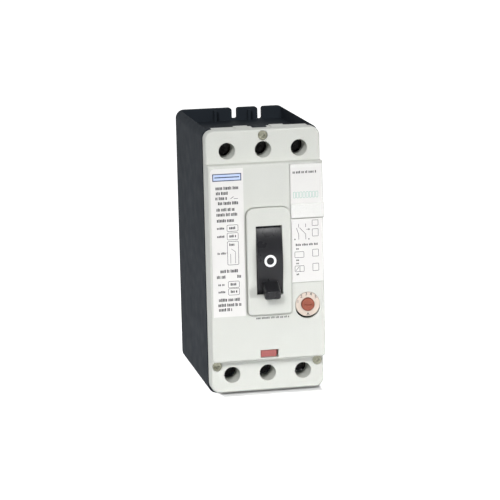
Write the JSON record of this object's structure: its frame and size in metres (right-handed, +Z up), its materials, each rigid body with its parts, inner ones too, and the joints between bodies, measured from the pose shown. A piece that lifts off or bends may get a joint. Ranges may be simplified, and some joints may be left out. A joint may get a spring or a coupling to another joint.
{
  "type": "molded case breaker",
  "caption": "Tall narrow moulded-case breaker with a black deep base, light grey cover, central toggle handle, setting dial, trip button and hinged accessory flap.",
  "frame": {"origin": "centre of the rear mounting face", "axes": "+X to the right across the poles seen from the front, +Y towards the mounting surface, +Z up towards the line terminals"},
  "size_m": [0.0724, 0.1238, 0.166],
  "materials": {
    "base_black": "fine moulded grain",
    "cover_grey": "fine moulded grain",
    "panel_white": "smooth satin",
    "label_white": "printed film",
    "black_plastic": "moulded",
    "zinc_steel": "zinc plated",
    "brass": "turned",
    "copper": "copper bar, mill finish",
    "fibre": "vulcanised fibre",
    "steel": "bright rolled",
    "bimetal": "rolled strip",
    "silver": "silver alloy, polished",
    "handle_black": "semi-gloss moulded",
    "mark_white": "pad printed",
    "trip_bar_plastic": "moulded",
    "button_red": "satin",
    "dial_red": "satin",
    "scale_cream": "satin"
  },
  "bodies": {
    "housing": {"base_housing": "base_black", "front_cover": "cover_grey", "handle_bezel": "cover_grey", "accessory_cover": "panel_white", "rating_label": "label_white", "accessory_label": "label_white", "auxiliary_switch": "black_plastic", "crossbar_keepers": "black_plastic", "cover_screws": "zinc_steel", "terminal_screws": "zinc_steel", "terminal_saddles": "zinc_steel", "line_terminal_cages": "zinc_steel", "load_terminal_cages": "zinc_steel", "mounting_inserts": "brass", "line_terminal_left": "copper", "line_terminal_centre": "copper", "line_terminal_right": "copper", "load_terminal_left": "copper", "load_terminal_centre": "copper", "load_terminal_right": "copper", "arc_chute_left": "fibre", "splitter_plates_left": "steel", "bimetal_left": "bimetal", "arc_chute_centre": "fibre", "splitter_plates_centre": "steel", "bimetal_centre": "bimetal", "arc_chute_right": "fibre", "splitter_plates_right": "steel", "bimetal_right": "bimetal", "braids": "copper", "fixed_contacts": "silver", "mechanism_side_plates": "steel", "mechanism_pins": "steel", "cradle": "steel", "latch": "steel", "magnet_yokes": "steel", "dial_scale": "scale_cream"},
    "handle": {"handle": "handle_black", "off_mark": "mark_white", "handle_yoke": "steel", "mechanism_springs": "steel"},
    "crossbar": {"crossbar": "black_plastic", "contact_arm_left": "copper", "contact_arm_centre": "copper", "contact_arm_right": "copper", "moving_contacts": "silver", "link_pin": "steel"},
    "upper_link": {"upper_links": "steel", "knee_pin": "steel"},
    "lower_link": {"lower_links": "steel"},
    "trip_bar": {"trip_bar": "trip_bar_plastic"},
    "trip_button": {"trip_button": "button_red", "button_spring": "steel"},
    "dial": {"adjusting_dial": "dial_red"},
    "accessory_flap": {"accessory_flap": "panel_white", "flap_label": "label_white"},
    "armature_left": {"armature_left": "steel"},
    "armature_centre": {"armature_centre": "steel"},
    "armature_right": {"armature_right": "steel"}
  },
  "joints": [
    {"name": "handle_pivot", "type": "hinge", "parent": "housing", "child": "handle", "pos_m": [0.0008, -0.0705, 0.0027], "axis": [-1, 0, 0], "range_deg": [0, 41], "deforming": ["mechanism_springs"]},
    {"name": "crossbar_pivot", "type": "hinge", "parent": "housing", "child": "crossbar", "pos_m": [0, -0.0158, -0.014], "axis": [-1, 0, 0], "range_deg": [0, 30.1]},
    {"name": "upper_link_pivot", "type": "hinge", "parent": "housing", "child": "upper_link", "pos_m": [0, -0.06, 0], "axis": [-1, 0, 0], "range_deg": [-40.8, 0]},
    {"name": "knee_pivot", "type": "hinge", "parent": "upper_link", "child": "lower_link", "pos_m": [0, -0.04442, -0.01253], "axis": [-1, 0, 0], "range_deg": [0, 67.9]},
    {"name": "trip_button_slide", "type": "slide", "parent": "housing", "child": "trip_button", "axis": [0, 1, 0], "range_m": [0, 0.0025], "stiffness_N_per_m": 250, "springref_m": -0.003, "deforming": ["button_spring"]},
    {"name": "trip_bar_pivot", "type": "hinge", "parent": "housing", "child": "trip_bar", "pos_m": [0, -0.084, -0.046], "axis": [1, 0, 0], "range_deg": [0, 15.7]},
    {"name": "dial_turn", "type": "hinge", "parent": "housing", "child": "dial", "pos_m": [0.0247, -0.11, -0.0267], "axis": [0, 1, 0], "range_deg": [0, 140]},
    {"name": "flap_hinge", "type": "hinge", "parent": "housing", "child": "accessory_flap", "pos_m": [0.0253, -0.11077, 0.05988], "axis": [-1, 0, 0], "range_deg": [0, 95]},
    {"name": "armature_left_hinge", "type": "hinge", "parent": "housing", "child": "armature_left", "pos_m": [-0.0224, -0.023, -0.0544], "axis": [-1, 0, 0], "range_deg": [0, 5], "stiffness_Nm_per_rad": 0.002, "springref_deg": -28.65},
    {"name": "armature_centre_hinge", "type": "hinge", "parent": "housing", "child": "armature_centre", "pos_m": [0, -0.023, -0.0544], "axis": [-1, 0, 0], "range_deg": [0, 5], "stiffness_Nm_per_rad": 0.002, "springref_deg": -28.65},
    {"name": "armature_right_hinge", "type": "hinge", "parent": "housing", "child": "armature_right", "pos_m": [0.0224, -0.023, -0.0544], "axis": [-1, 0, 0], "range_deg": [0, 5], "stiffness_Nm_per_rad": 0.002, "springref_deg": -28.65}
  ],
  "couplings": [
    {"joint": "crossbar_pivot", "follows": "handle_pivot", "ratio": 0.73171},
    {"joint": "upper_link_pivot", "follows": "handle_pivot", "ratio": -0.99106},
    {"joint": "knee_pivot", "follows": "handle_pivot", "ratio": 1.6503},
    {"joint": "trip_bar_pivot", "follows": "trip_button_slide", "rad_per_m": 108.7}
  ]
}
